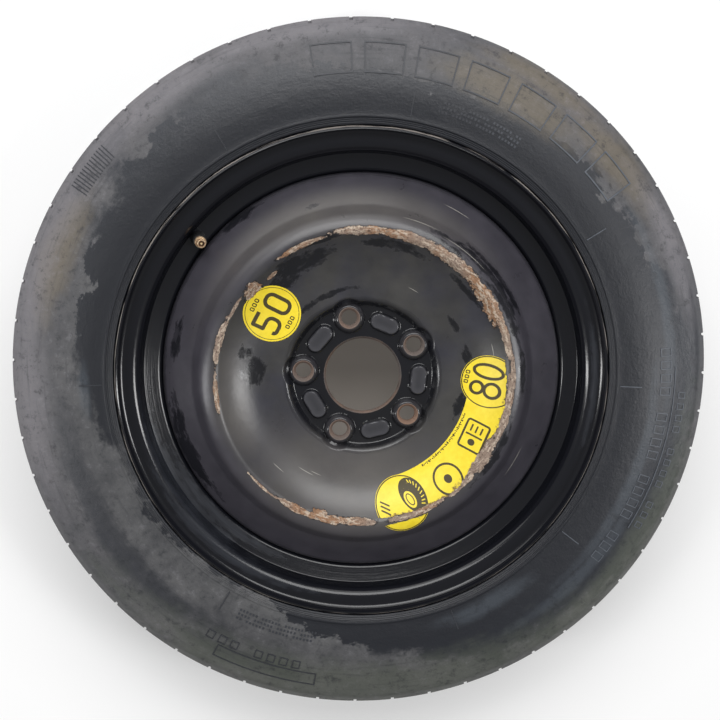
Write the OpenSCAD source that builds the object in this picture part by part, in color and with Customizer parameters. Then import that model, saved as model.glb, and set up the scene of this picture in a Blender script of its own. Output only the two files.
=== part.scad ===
// Space saver spare wheel: a narrow temporary tyre on a pressed steel wheel,
// lying with its outer face up. The origin is on the wheel's axis, in the plane
// of the hub mounting face, and +Z points out of the outer face.

/* [Rim] */
// Diameter of the bead seat where it meets the flange
bead_d = 405.6; // [395:0.1:420]
// Width between the inner faces of the two flanges
rim_w = 101.6; // [96:0.2:114]
// Height of the flange above the bead seat
flange_h = 17.3; // [16:0.1:20]
// Radius of the flange where it turns outwards
flange_r = 8; // [7:0.1:9]
// Radius of the curled lip on the tyre's side
lip_r = 4.5; // [4:0.1:5.5]
// How far the lip curls back, in degrees
lip_turn = 70; // [60:1:80]
// Thickness of the rim's sheet
rim_t = 2.5; // [2:0.1:3]
// Depth of the well below the bead seat
well_depth = 17.3; // [16.5:0.1:20]
// Lean of the well's front wall, which the valve stands square to
valve_lean = 20; // [18:1:24]
// Distance from a flange face to the top of its safety hump
hump_in = 17.8; // [17:0.1:20]
// Length of the well's floor
floor_l = 34; // [32:1:38]

/* [Disc] */
// Distance from the rim's mid plane to the mounting face
wheel_offset = 36; // [32:0.5:40]
// Thickness of the disc's sheet
disc_t = 3.6; // [3:0.1:4.2]
// Radius of the hub recess at its upper edge
recess_r = 68.5; // [67:0.5:73]
// Depth of the hub recess below the dish
recess_depth = 6.9; // [5:0.1:9]
// Radius of the crest, the disc's highest ring
crest_r = 130.5; // [126:0.5:136]
// Height of the crest above the mounting face
crest_h = 34.4; // [30:0.2:37]
// Radial width of the crest's rounded shoulder
crest_w = 12.5; // [10:0.5:14]
// Length of the skirt that sits in the well
skirt_l = 22; // [16:0.5:24]
// Number of weld runs between the skirt and the well
weld_count = 8; // [4:1:12]
// Leg of each weld run
weld_leg = 3; // [2:0.1:3.4]
// Arc that each weld run covers, in degrees
weld_arc = 16; // [10:1:25]

/* [Hub] */
// Diameter of the centre bore
bore_d = 67.1; // [60:0.1:69]
// Width of the bevel round the bore's front edge
bore_bevel = 1.6; // [0.8:0.1:2]
// Diameter of the bolt circle
bolt_pcd = 108; // [106:0.5:110]
// Number of bolt holes
bolt_count = 5; // [4:1:5]
// Diameter of a bolt hole
bolt_hole_d = 14; // [12.5:0.1:15]
// Diameter of the conical seat at the top of a boss
seat_d = 18.4; // [17.5:0.1:19.5]
// Height of a bolt boss above the hub face
boss_h = 5.4; // [4:0.1:6]
// Diameter of a boss at its top
boss_top_d = 22; // [21:0.5:24]
// Diameter of a boss at its foot
boss_foot_d = 29; // [27:0.5:30]
// Direction of the first bolt hole, in degrees
bolt_start = 31; // [0:1:72]
// Length of a raised pad between two bolts
pad_l = 29.4; // [26:0.2:30]
// Width of a raised pad
pad_w = 17.2; // [15:0.2:18]
// Height of a raised pad above the hub face
pad_h = 4.2; // [3:0.1:5]
// Radius on which the pads lie
pad_r = 51; // [50:0.5:53]

/* [Tyre] */
// Outer diameter of the tyre
tyre_d = 631.4; // [622:0.2:640]
// Half of the tyre's width at its widest
tyre_half_w = 64.6; // [64.2:0.1:67]
// Half of the tread's width at the shoulder edges
tread_half_w = 46; // [43:0.5:48]
// Depth of a tread groove
groove_depth = 3; // [2:0.1:4]
// Width of a tread groove
groove_w = 6; // [4:0.2:8]
// Distance of the inner grooves from the mid plane
groove_in = 11; // [9:0.5:13]
// Distance of the outer grooves from the mid plane
groove_out = 31; // [27:0.5:34]
// Number of notches round each shoulder
notch_count = 55; // [40:1:64]
// Width of a shoulder notch
notch_w = 3.2; // [2:0.1:4]
// Depth of a shoulder notch below the tread's edge
notch_depth = 4.6; // [3:0.1:6]
// How far a notch reaches into the tread
notch_in = 4; // [2:0.5:6]
// Thickness of the sidewall
side_t = 7; // [6:0.2:8]
// Thickness of the tread and the belt under it
crown_t = 10.5; // [9:0.2:12]

/* [Valve] */
// Direction of the valve, in degrees
valve_dir = 140; // [0:1:359]
// Diameter of the valve hole in the rim
valve_hole_d = 11.3; // [10.8:0.1:11.8]
// How far below the middle of the wall the valve stands
valve_drop = 1; // [0.6:0.1:1.4]
// Length of the valve from the rim's wall to its tip
valve_l = 21; // [20:0.5:23]
// Diameter of the rubber flange inside the tyre
valve_foot_d = 14.8; // [14:0.1:15.4]
// Diameter of the rubber shoulder in front of the rim
valve_shoulder_d = 13.4; // [12.8:0.1:13.8]
// Diameter of the rubber at its upper end
valve_neck_d = 12; // [11.6:0.1:12.6]
// Diameter of the brass sleeve
sleeve_d = 10.2; // [9.8:0.1:10.6]
// Diameter over the thread at the valve's tip
tip_d = 7.7; // [7.5:0.1:8]
// Length of the thread at the valve's tip
tip_l = 5.4; // [4.6:0.1:6]
// Diameter of the bore that takes the valve core
mouth_d = 5.3; // [5.2:0.1:5.6]
// Diameter of the core's pin
pin_d = 1.2; // [1.1:0.05:1.3]
// Diameter of the pin's head
head_d = 1.9; // [1.7:0.05:2]
// Travel of the pin when it is pushed in
pin_travel = 1.2; // [1:0.1:1.4]

/* [Stickers] */
// Thickness of a sticker
sticker_t = 0.3; // [0.2:0.05:0.4]
// Diameter of the round sticker
round_d = 50.5; // [46:0.5:54]
// Radius on which the round sticker lies
round_r = 99; // [97:0.5:101]
// Direction of the round sticker, in degrees
round_dir = 144.5; // [0:0.5:359]
// Radius of the long sticker's inner edge
long_in = 96; // [94:0.5:98]
// Radius of the long sticker's worn outer edge
long_out = 129.5; // [127:0.5:131]
// Direction of the long sticker's lower end, in degrees
long_from = -73.2; // [-80:0.2:-68]
// Radius on which the lower round end lies
low_end_r = 119.6; // [117:0.2:121]
// Direction of the long sticker's upper end, in degrees
long_to = -2.1; // [-8:0.1:2]
// Radius on which the upper round end lies
high_end_r = 112.6; // [111:0.2:114]
// Radius at which the upper round end is worn off
high_out = 126.5; // [125:0.5:129]
// Diameter of the round ends of the long sticker
long_end_d = 48; // [44:0.5:52]

/* [Hidden] */
// Largest distance between an arc of an outline and its chords
arc_sag = 0.06;
eps = 0.01;
// Gap between rubber or sheet pieces that only meet
fit_gap = 0.25;
// Running clearance of the valve pin in its guides
slide_gap = 0.08;
// Thickness of the glue under a sticker
glue_t = 0.1;
// Largest share of a leg that its two fillets take up
fillet_share = 0.98;
// Length of the cutting tools beyond what they cut
tool_l = 20;

// Outline tools. A path is a list of corners, and each corner has a radius.
function unit(v) = v / norm(v);
function cross2(a, b) = a.x * b.y - a.y * b.x;
function wrap(a) = a > 180 ? a - 360 : (a < -180 ? a + 360 : a);
function backwards(p) = [for (i = [len(p) - 1:-1:0]) p[i]];
function mirrored(p) = [for (i = [len(p) - 1:-1:0]) [p[i].x, -p[i].y]];
function arc_points(c, r, from, sweep) =
    let (n = max(1, ceil(abs(sweep) / min(11.25, 2 * acos(1 - arc_sag / r)))))
    [for (k = [0:n]) c + r * [cos(from + sweep * k / n), sin(from + sweep * k / n)]];
function round_corner(p, a, q, r) =
    let (u = unit(p - a), v = unit(q - a), half = acos(u * v) / 2,
         c = a + unit(u + v) * r / sin(half),
         s = a + u * r / tan(half) - c, e = a + v * r / tan(half) - c,
         from = atan2(s.y, s.x))
    arc_points(c, r, from, wrap(atan2(e.y, e.x) - from));
function rounded(p, r) =
    [for (i = [0:len(p) - 1])
        each (r[i] <= 0 || i == 0 || i == len(p) - 1
            ? [p[i]] : round_corner(p[i - 1], p[i], p[i + 1], r[i]))];
// Radii held back where the fillets at the two ends of a leg would meet
function tangent(p, r, i) =
    i == 0 || i == len(p) - 1
        ? 0 : r[i] * tan(acos(unit(p[i] - p[i - 1]) * unit(p[i + 1] - p[i])) / 2);
function leg_room(p, r, i) =
    fillet_share * norm(p[i + 1] - p[i]) / max(eps, tangent(p, r, i) + tangent(p, r, i + 1));
function fitted(p, r) =
    [for (i = [0:len(p) - 1])
        i == 0 || i == len(p) - 1 ? 0 : r[i] * min(1, leg_room(p, r, i - 1), leg_room(p, r, i))];
function left_of(a, b) = let (u = unit(b - a)) [-u.y, u.x];
function shifted(p, d) =
    [for (i = [0:len(p) - 1])
        let (m = i == 0 ? left_of(p[0], p[1]) : left_of(p[i - 1], p[i]),
             n = i == len(p) - 1 ? m : left_of(p[i], p[i + 1]))
        p[i] + d * (m + n) / (1 + m * n)];
function shifted_radii(p, r, d) =
    [for (i = [0:len(p) - 1])
        r[i] <= 0 || i == 0 || i == len(p) - 1
            ? 0 : r[i] - d * sign(cross2(p[i] - p[i - 1], p[i + 1] - p[i]))];
// A sheet of thickness |d| on the left of its path, or on its right when d is negative
function sheet(p, r, d) =
    concat(rounded(p, r), backwards(rounded(shifted(p, d), shifted_radii(p, r, d))));

// Rim: corners in (radius, distance from the mid plane), on the tyre's side
bead_r = bead_d / 2;
half_w = rim_w / 2;
flange_top = bead_r + flange_h;
seat_taper = 5;
heel_r = 6;
lip_leg = lip_r * tan(lip_turn / 2);
lip_w = half_w + flange_r + lip_leg;
well_r = bead_r - well_depth;
well_in = well_r - rim_t;
hump_h = 1;
hump_foot = 3.3;
hump_foot_r = 3;
lip_tail = 0.4;
well_front_r = 3.5;
well_rear_r = 6;
hump_w = half_w - hump_in;
function seat_at(w) = bead_r - (half_w - w) * tan(seat_taper);
hump_top = seat_at(hump_w) + hump_h;
wall_foot_w = hump_w - (hump_top - well_r) * tan(valve_lean);
floor_end_w = wall_foot_w - floor_l;
function lip_end(s) =
    [flange_top - (lip_leg + lip_tail) * sin(lip_turn), s * (lip_w + (lip_leg + lip_tail) * cos(lip_turn))];
rim_path = [
    lip_end(1), [flange_top, lip_w], [flange_top, half_w], [bead_r, half_w],
    [seat_at(hump_w + hump_foot), hump_w + hump_foot], [hump_top, hump_w],
    [well_r, wall_foot_w], [well_r, floor_end_w], [hump_top, -hump_w],
    [seat_at(hump_w + hump_foot), -hump_w - hump_foot],
    [bead_r, -half_w], [flange_top, -half_w], [flange_top, -lip_w], lip_end(-1)];
hump_r = rim_t + 1.2;
rim_radii = [0, lip_r, flange_r, heel_r, hump_foot_r, hump_r, well_front_r, well_rear_r, hump_r,
             hump_foot_r, heel_r, flange_r, lip_r, 0];

// Disc: corners in (radius, height), on the outer face
dish_slope = 6;
dish_share = 0.5726;
dish_r = recess_r + (crest_r - recess_r) * dish_share;
recess_z = disc_t + recess_depth;
dish_z = recess_z + (dish_r - recess_r) * tan(dish_slope);
recess_foot = recess_r - recess_depth * 0.72;
crest_drop = 2.7;
flank_w = 9.5;
flank_drop = 13.5;
shoulder = [crest_r + crest_w, crest_h - crest_drop];
flank = shoulder + [flank_w, -flank_drop];
flank_slope = 36;
skirt_r = well_in;
skirt_top = flank.y - (skirt_r - flank.x) * tan(flank_slope);
skirt_bend = 12;
well_mid_w = (wall_foot_w + floor_end_w) / 2;
skirt_end = well_mid_w - wheel_offset - skirt_l / 2;
disc_path = [
    [bore_d / 2, disc_t], [recess_foot, disc_t], [recess_r, recess_z], [dish_r, dish_z],
    [crest_r, crest_h], shoulder, flank, [skirt_r, skirt_top], [skirt_r, skirt_end]];
recess_foot_fillet = 2.5;
recess_fillet = 5;
dish_fillet = 40;
crest_fillet = 9;
shoulder_fillet = 7;
flank_fillet = 14;
disc_radii = fitted(disc_path, [0, recess_foot_fillet, recess_fillet, dish_fillet, crest_fillet,
                                shoulder_fillet, flank_fillet, skirt_bend, 0]);
boss_z = disc_t + boss_h;
bolt_r = bolt_pcd / 2;
bolt_step = 360 / bolt_count;
lobe_r = 15.8;
lobe_drop = 2.6;
seat_angle = 60;
seat_h = (seat_d - bolt_hole_d) / 2 / tan(seat_angle / 2);
pad_taper = 2.2;
pad_wall = 2.5;

// Tyre: corners in (radius, distance from the mid plane)
tyre_r = tyre_d / 2;
tread_drop = 2.9;
tread_edge = tyre_r - tread_drop;
toe_w = hump_w + hump_foot + 1.2;
lip_gap = 0.6;
bead_top = flange_top + lip_gap;
rib_gap = 6.3;
rib_t = 2.6;
rib_r = flange_top + rib_gap;
rib_w = tyre_half_w - 1.9;
side_foot = rib_r + rib_t;
belly_r = side_foot + (tyre_r - side_foot) * 0.3426;
shoulder_drop = 12;
shoulder_out = 9;
crown_flat = 14;
tyre_path = [
    [seat_at(toe_w), toe_w], [bead_r, half_w], [bead_top, half_w], [bead_top, lip_w - 0.6],
    [rib_r, rib_w], [rib_r + 0.4, rib_w + 1], [side_foot - 0.5, rib_w + 1.1], [side_foot, rib_w + 0.4],
    [belly_r, tyre_half_w + 1.8], [tyre_r - shoulder_drop, tread_half_w + shoulder_out],
    [tread_edge, tread_half_w], [tyre_r, crown_flat]];
belly_fillet = 120;
shoulder_bend = 14;
tread_fillet = 3.5;
tyre_radii = fitted(tyre_path, [0, heel_r + 1, flange_r + lip_gap, 1.2, 0.5, 0.4, 0.4, 0.5,
                                belly_fillet, shoulder_bend, tread_fillet, 0]);
// Air space: corners in the same way, with heights as shares of the space between bead and belt
bead_t = 12;
air_foot = flange_top + bead_t;
air_top = tyre_r - crown_t - 1;
air_belly = air_foot + (air_top - air_foot) * 0.41;
air_shoulder = air_foot + (air_top - air_foot) * 0.827;
cavity_path = [
    [seat_at(toe_w) + 4.5, toe_w - 0.8], [flange_top - 4, half_w - side_t],
    [air_foot, rib_w - side_t], [air_belly, tyre_half_w + 1 - side_t],
    [air_shoulder, tread_half_w + shoulder_out + 3 - side_t], [air_top, tread_half_w - 8],
    [tyre_r - crown_t, 10]];
cavity_radii = fitted(cavity_path, [0, 12, 20, 60, 20, 14, 0]);

// Valve: heights along its axis from the rim's wall, outwards positive
wall_mid_w = (hump_w + wall_foot_w) / 2;
wall_mid_r = (hump_top + well_r) / 2;
valve_base = [wall_mid_r - valve_drop * cos(valve_lean) - rim_t * sin(valve_lean),
              wall_mid_w - valve_drop * sin(valve_lean) + rim_t * cos(valve_lean) - wheel_offset];
inner_face = -rim_t - fit_gap;
foot_end = inner_face - 5;
stem_end = foot_end - 1;
tip_start = valve_l - tip_l;
neck_end = tip_start - 3.2;
sleeve_start = neck_end - 2.5;
stem_r = 3.6;
air_r = 2.05;
core_seat = valve_l - 8;
barrel_r = 1.75;
plug_top = valve_l - 1;
plug_end = valve_l - 4.2;
spring_turns = 5;
spring_wire = 0.26;
// Length of the spring at rest: its wire packed solid, and three times the pin's travel
spring_l = spring_turns * spring_wire + 3 * pin_travel;
collar_gap = 0.6;
collar_t = 0.45;
barrel_floor = 0.9;
barrel_end = plug_end - collar_gap - collar_t - spring_l - barrel_floor;
guide_r = pin_d / 2 + slide_gap;
chamber_r = 1.15;
collar_top = plug_end - collar_gap;
collar_end = collar_top - collar_t;
pin_top = valve_l - 0.3;
seal_t = 0.65;
cup_t = 1.1;
cup_r = 1.7;
cup_end = barrel_end - seal_t - cup_t;
spring_r = (chamber_r + pin_d / 2) / 2;

module spin_rim(points) {
    rotate_extrude($fn = 180) polygon(points);
}

// Shape of a tapered pad with round ends, lying along Y and standing on its foot
module pad_shape(l, w, h, taper) {
    straight = (l - w) / 2;
    for (s = [-1, 1])
        translate([0, s * straight, 0])
            cylinder(h = h, r1 = w / 2, r2 = w / 2 - taper, $fn = 48);
    translate([0, straight, 0])
        rotate([90, 0, 0])
            linear_extrude(height = 2 * straight)
                polygon([[-w / 2, 0], [w / 2, 0], [w / 2 - taper, h], [taper - w / 2, h]]);
}

module at_bolts(turn = 0) {
    for (i = [0:bolt_count - 1])
        rotate([0, 0, bolt_start + turn + i * bolt_step])
            children();
}

module on_valve_axis() {
    rotate([0, 0, valve_dir])
        translate([valve_base.x, 0, valve_base.y])
            rotate([0, -valve_lean, 0])
                children();
}

// A solid turned round the valve's axis from corners in (radius, height)
module valve_turned(points) {
    on_valve_axis()
        rotate_extrude($fn = 48)
            polygon(points);
}

module tyre() {
    outer = rounded(tyre_path, tyre_radii);
    inner = rounded(cavity_path, cavity_radii);
    color([0.13, 0.14, 0.15])
        translate([0, 0, -wheel_offset])
            difference() {
                rotate_extrude($fn = 240)
                    difference() {
                        polygon(concat(outer, mirrored(outer), backwards(mirrored(inner)), backwards(inner)));
                        for (w = [-groove_out, -groove_in, groove_in, groove_out])
                            translate([tyre_r - groove_depth, w - groove_w / 2])
                                square([groove_depth + tool_l, groove_w]);
                    }
                for (s = [0, 1], i = [0:notch_count - 1])
                    mirror([0, 0, s])
                        rotate([0, 0, i * 360 / notch_count])
                            translate([tread_edge - notch_depth, -notch_w / 2, tread_half_w - notch_in])
                                cube([tool_l, notch_w, tool_l]);
            }
}

module rim() {
    color([0.07, 0.07, 0.08])
        difference() {
            translate([0, 0, -wheel_offset])
                spin_rim(sheet(rim_path, rim_radii, -rim_t));
            on_valve_axis()
                cylinder(h = tool_l, d = valve_hole_d, center = true, $fn = 48);
        }
}

module wheel_disc() {
    color([0.16, 0.16, 0.17])
        difference() {
            union() {
                difference() {
                    union() {
                        spin_rim(sheet(disc_path, disc_radii, -disc_t));
                        at_bolts()
                            translate([bolt_r, 0, 0])
                                cylinder(h = recess_z - lobe_drop, r = lobe_r + disc_t, $fn = 60);
                    }
                    at_bolts()
                        translate([bolt_r, 0, disc_t])
                            cylinder(h = tool_l, r = lobe_r, $fn = 60);
                }
                at_bolts()
                    translate([bolt_r, 0, disc_t - eps])
                        cylinder(h = boss_h + eps, d1 = boss_foot_d, d2 = boss_top_d, $fn = 60);
                at_bolts(bolt_step / 2)
                    translate([pad_r, 0, disc_t - eps])
                        pad_shape(pad_l, pad_w, pad_h + eps, pad_taper);
            }
            at_bolts(bolt_step / 2)
                translate([pad_r, 0, -eps])
                    pad_shape(pad_l - 2 * pad_wall, pad_w - 2 * pad_wall, pad_h, pad_taper / 2);
            at_bolts()
                translate([bolt_r, 0, -tool_l / 2])
                    cylinder(h = boss_z + tool_l, d = bolt_hole_d, $fn = 48);
            at_bolts()
                translate([bolt_r, 0, boss_z - seat_h])
                    cylinder(h = seat_h + eps, d1 = bolt_hole_d, d2 = seat_d, $fn = 48);
            translate([0, 0, disc_t - bore_bevel])
                cylinder(h = bore_bevel + eps, d1 = bore_d, d2 = bore_d + 2 * bore_bevel, $fn = 120);
            translate([0, 0, -tool_l / 2])
                cylinder(h = tool_l, d = bore_d, $fn = 120);
        }
}

module disc_welds() {
    color([0.2, 0.19, 0.18])
        for (i = [0:weld_count - 1])
            rotate([0, 0, (i + 0.5) * 360 / weld_count - weld_arc / 2])
                rotate_extrude(angle = weld_arc, $fn = 180)
                    polygon([[skirt_r, skirt_end], [skirt_r - weld_leg, skirt_end],
                             [skirt_r - weld_leg * 0.62, skirt_end - weld_leg * 0.62],
                             [skirt_r, skirt_end - weld_leg]]);
}

module valve_rubber() {
    color([0.08, 0.08, 0.09])
        valve_turned([
            [stem_r, foot_end], [valve_foot_d / 2 - 1.6, foot_end], [valve_foot_d / 2, foot_end + 2],
            [valve_foot_d / 2, inner_face - 0.6], [valve_foot_d / 2 - 0.6, inner_face],
            [valve_hole_d / 2, inner_face], [valve_hole_d / 2, fit_gap],
            [valve_shoulder_d / 2, fit_gap], [valve_shoulder_d / 2, fit_gap + 1.4],
            [valve_neck_d / 2, fit_gap + 5.5], [valve_neck_d / 2, neck_end - 0.8],
            [valve_neck_d / 2 - 0.6, neck_end], [sleeve_d / 2, neck_end],
            [sleeve_d / 2, sleeve_start], [stem_r, sleeve_start]]);
}

module valve_stem() {
    color([0.72, 0.58, 0.36])
        valve_turned([
            [air_r, stem_end], [stem_r - 0.4, stem_end], [stem_r, stem_end + 0.4], [stem_r, sleeve_start],
            [sleeve_d / 2, sleeve_start], [sleeve_d / 2, tip_start - 0.8], [sleeve_d / 2 - 0.6, tip_start],
            [tip_d / 2, tip_start], [tip_d / 2, valve_l - 0.4], [tip_d / 2 - 0.4, valve_l],
            [mouth_d / 2 + 0.25, valve_l], [mouth_d / 2, valve_l - 0.4], [mouth_d / 2, core_seat + 0.8],
            [air_r, core_seat]]);
}

// Threaded plug that holds the core down, with two slots for the key and the air
module core_plug() {
    color([0.68, 0.54, 0.33])
        on_valve_axis()
            difference() {
                translate([0, 0, plug_end])
                    cylinder(h = plug_top - plug_end, r = mouth_d / 2, $fn = 36);
                translate([0, 0, plug_end - 1])
                    cylinder(h = 6, r = head_d / 2 + 0.3, $fn = 36);
                for (s = [-1, 1])
                    translate([s * (mouth_d / 2 + 0.2), 0, plug_end + 1.4])
                        cylinder(h = 6, r = 1.1, $fn = 24);
            }
}

module core_barrel() {
    color([0.68, 0.54, 0.33])
        valve_turned([
            [guide_r, barrel_end], [barrel_r, barrel_end], [barrel_r, plug_end],
            [chamber_r, plug_end], [chamber_r, barrel_end + barrel_floor],
            [guide_r, barrel_end + barrel_floor]]);
}

module core_gasket() {
    color([0.75, 0.2, 0.15])
        valve_turned([
            [barrel_r, core_seat + 0.1], [air_r + 0.05, core_seat + 0.15],
            [mouth_d / 2 - 0.1, core_seat + 0.85], [mouth_d / 2 - 0.1, core_seat + 1.5],
            [barrel_r, core_seat + 1.5]]);
}

// Coil spring between the barrel's floor and the pin's collar
module core_spring() {
    low = barrel_end + barrel_floor + spring_wire / 2 + eps;
    high = collar_end - spring_wire / 2 - eps;
    per_turn = 16;
    sides = 6;
    steps = spring_turns * per_turn;
    rings = [for (i = [0:steps])
        let (a = 360 * i / per_turn, z = low + (high - low) * i / steps)
        [for (k = [0:sides - 1])
            let (b = 360 * k / sides, r = spring_r + spring_wire / 2 * cos(b))
            [r * cos(a), r * sin(a), z + spring_wire / 2 * sin(b)]]];
    points = [for (ring = rings) each ring];
    walls = [for (i = [0:steps - 1], k = [0:sides - 1])
        let (n = (k + 1) % sides, b = i * sides)
        [b + k, b + n, b + sides + n, b + sides + k]];
    first_cap = [for (k = [sides - 1:-1:0]) k];
    last_cap = [for (k = [0:sides - 1]) steps * sides + k];
    color([0.7, 0.7, 0.72])
        on_valve_axis()
            polyhedron(points, concat([first_cap, last_cap], walls));
}

module core_pin() {
    color([0.8, 0.66, 0.44])
        valve_turned([
            [0, cup_end], [pin_d / 2, cup_end],
            [pin_d / 2, collar_end], [chamber_r - slide_gap, collar_end],
            [chamber_r - slide_gap, collar_top], [pin_d / 2, collar_top],
            [pin_d / 2, pin_top - 1.5], [head_d / 2, pin_top - 1.2],
            [head_d / 2, pin_top - 0.25], [head_d / 2 - 0.25, pin_top], [0, pin_top]]);
}

module core_cup() {
    color([0.68, 0.54, 0.33])
        valve_turned([
            [pin_d / 2, cup_end], [cup_r - 0.3, cup_end],
            [cup_r, cup_end + 0.3], [cup_r, barrel_end - seal_t],
            [pin_d / 2, barrel_end - seal_t]]);
}

module cup_seal() {
    color([0.1, 0.1, 0.1])
        valve_turned([
            [pin_d / 2, barrel_end - seal_t], [cup_r - 0.1, barrel_end - seal_t],
            [cup_r - 0.1, barrel_end - 0.03], [pin_d / 2, barrel_end - 0.03]]);
}

// Thin skin lying on the disc's outer face, from which the stickers are cut
module disc_skin() {
    face = [for (i = [2:6]) disc_path[i]];
    radii = [for (i = [2:6]) i > 2 && i < 6 ? disc_radii[i] : 0];
    spin_rim(sheet(shifted(face, glue_t), shifted_radii(face, radii, glue_t), sticker_t));
}

module at_polar(r, a) {
    rotate([0, 0, a])
        translate([r, 0, 0])
            children();
}

module round_sticker() {
    color([0.93, 0.84, 0.1])
        intersection() {
            disc_skin();
            at_polar(round_r, round_dir)
                cylinder(h = crest_h + tool_l, d = round_d, $fn = 72);
        }
}

// Curved band with a round sticker shape at each end and a worn outer edge
module long_sticker() {
    steps = 30;
    wear = long_out / 92;
    worn = [for (i = [0:steps])
        let (a = long_from + (long_to - long_from) * i / steps)
        (long_out + wear * (sin(47 * i) + 0.8 * sin(101 * i))) * [cos(a), sin(a)]];
    inner = [for (i = [steps:-1:0])
        let (a = long_from + (long_to - long_from) * i / steps)
        long_in * [cos(a), sin(a)]];
    color([0.93, 0.84, 0.1])
        intersection() {
            disc_skin();
            union() {
                linear_extrude(height = crest_h + tool_l)
                    polygon(concat(worn, inner));
                intersection() {
                    at_polar(high_end_r, long_to)
                        cylinder(h = crest_h + tool_l, d = long_end_d, $fn = 72);
                    cylinder(h = crest_h + tool_l, r = high_out, $fn = 180);
                }
                at_polar(low_end_r, long_from)
                    cylinder(h = crest_h + tool_l, d = long_end_d, $fn = 72);
            }
        }
}

tyre();
rim();
wheel_disc();
disc_welds();
valve_rubber();
valve_stem();
core_plug();
core_barrel();
core_gasket();
core_spring();
core_pin();
core_cup();
cup_seal();
round_sticker();
long_sticker();
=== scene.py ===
import math

import bmesh
import bpy
from mathutils import Matrix, Vector, noise


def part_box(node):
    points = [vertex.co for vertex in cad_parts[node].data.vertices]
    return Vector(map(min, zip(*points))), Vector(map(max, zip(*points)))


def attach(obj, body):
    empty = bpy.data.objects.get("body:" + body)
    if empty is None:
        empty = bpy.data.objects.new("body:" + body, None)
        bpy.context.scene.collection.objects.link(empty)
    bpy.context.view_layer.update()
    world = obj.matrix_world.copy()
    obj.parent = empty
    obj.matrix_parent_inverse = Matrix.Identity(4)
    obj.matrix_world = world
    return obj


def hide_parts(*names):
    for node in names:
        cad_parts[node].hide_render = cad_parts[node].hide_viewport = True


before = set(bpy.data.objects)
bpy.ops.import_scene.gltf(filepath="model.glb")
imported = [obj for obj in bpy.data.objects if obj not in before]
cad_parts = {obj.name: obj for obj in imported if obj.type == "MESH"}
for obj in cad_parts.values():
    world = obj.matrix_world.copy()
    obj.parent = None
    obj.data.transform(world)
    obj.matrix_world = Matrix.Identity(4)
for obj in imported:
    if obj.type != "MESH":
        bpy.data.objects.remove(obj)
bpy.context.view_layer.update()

# Sizes are in millimetres and turned to metres when a mesh is made. The axis of the
# wheel is Z, and directions are degrees from +X towards +Y, seen from the outer face.
MM = 0.001
TAU = 2 * math.pi

# Rim: corners as (radius, distance from the mid plane), on the tyre's side
WHEEL_OFFSET = 36.0
RIM_T = 2.5
BEAD_R, HALF_W, FLANGE_TOP = 202.8, 50.8, 220.1
LIP_W = 61.95
LIP_END = (216.76, 63.17)
HUMP_W, HUMP_TOP, HUMP_FOOT_W = 33.0, 202.24, 36.3
SEAT_TAPER = math.radians(5)
WELL_R, WELL_FRONT_W, WELL_REAR_W = 185.5, 26.9, -7.1

# Disc: corners as (radius, height) on its outer face
DISC_T = 3.6
BORE_R, BORE_BEVEL = 33.55, 1.6
RECESS_R, RECESS_Z = 68.5, 10.5
SKIRT_R, SKIRT_END = 183.0, -37.09
FLOOR_Z = 3.6

# Hub: bolt bosses and pads in the recess
BOLT_COUNT, BOLT_R, BOLT_START = 5, 54.0, 31.0
BOLT_HOLE_R, SEAT_R, BOSS_H = 7.0, 9.2, 5.4
BOSS_TOP_R, BOSS_FOOT_R, LOBE_R = 11.0, 14.5, 15.8
PAD_R, PAD_L, PAD_W, PAD_H = 51.0, 29.4, 17.2, 4.2

# Tyre: overall sizes
TYRE_R, TYRE_HALF_W, TREAD_HALF_W = 315.7, 64.6, 46.0
NOTCH_COUNT, NOTCH_DEPTH = 55, 4.6
# Share of the pitch that a notch takes up, and steps of the mesh in one pitch
NOTCH_SHARE, NOTCH_STEPS = 1 / 12, 7
# Depth of a raised mark's root below the sidewall
MARK_ROOT = 0.1

# Valve: a frame on its axis, which leans towards the wheel's axis
VALVE_DIR, VALVE_LEAN, VALVE_L = math.radians(140), math.radians(20), 21.0
VALVE_BASE = (-147.139, 123.464, -4.040)
TIP_R, TIP_L, SLEEVE_R = 3.85, 5.4, 5.1

# Stickers: places on the disc's outer face
STICKER_LIFT, STICKER_T, PRINT_T, PRINT_FOOT = 0.1, 0.3, 0.05, 0.22
ROUND_AT, ROUND_DIR, ROUND_R = 99.0, 144.5, 25.25
LONG_IN, LONG_FROM, LONG_TO = 96.0, -73.2, -2.1
LOW_AT, HIGH_AT, END_R = 119.6, 112.6, 24.0
# Worn outer edge of the long sticker, and of the sliver left beyond the crest, as (direction, radius)
WORN_EDGE = [(-100, 127.3), (-66, 127.3), (-60, 128), (-56, 129.5), (-50, 130), (-45, 127.5), (-38, 124),
             (-33, 123.5), (-27, 123.5), (-24, 126), (-20, 127.5), (-11, 127.5), (0, 126.3), (20, 126.3)]
SLIVER_EDGE = [(-100, 140), (-88, 136.5), (-80, 134), (-70, 133.5), (-62, 135), (-55, 138)]


def seat_at(w):
    """Radius of the bead seat at a distance from the mid plane."""
    return BEAD_R - (HALF_W - w) * math.tan(SEAT_TAPER)


def linear(hex_colour):
    """An sRGB hex colour as linear RGBA."""
    parts = [int(hex_colour[i:i + 2], 16) / 255 for i in (0, 2, 4)]
    return [c / 12.92 if c <= 0.04045 else ((c + 0.055) / 1.055) ** 2.4 for c in parts] + [1.0]


def per(size_mm):
    """Texture scale at which one feature of the pattern measures size_mm."""
    return 1 / (size_mm * MM)


# Outlines


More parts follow.
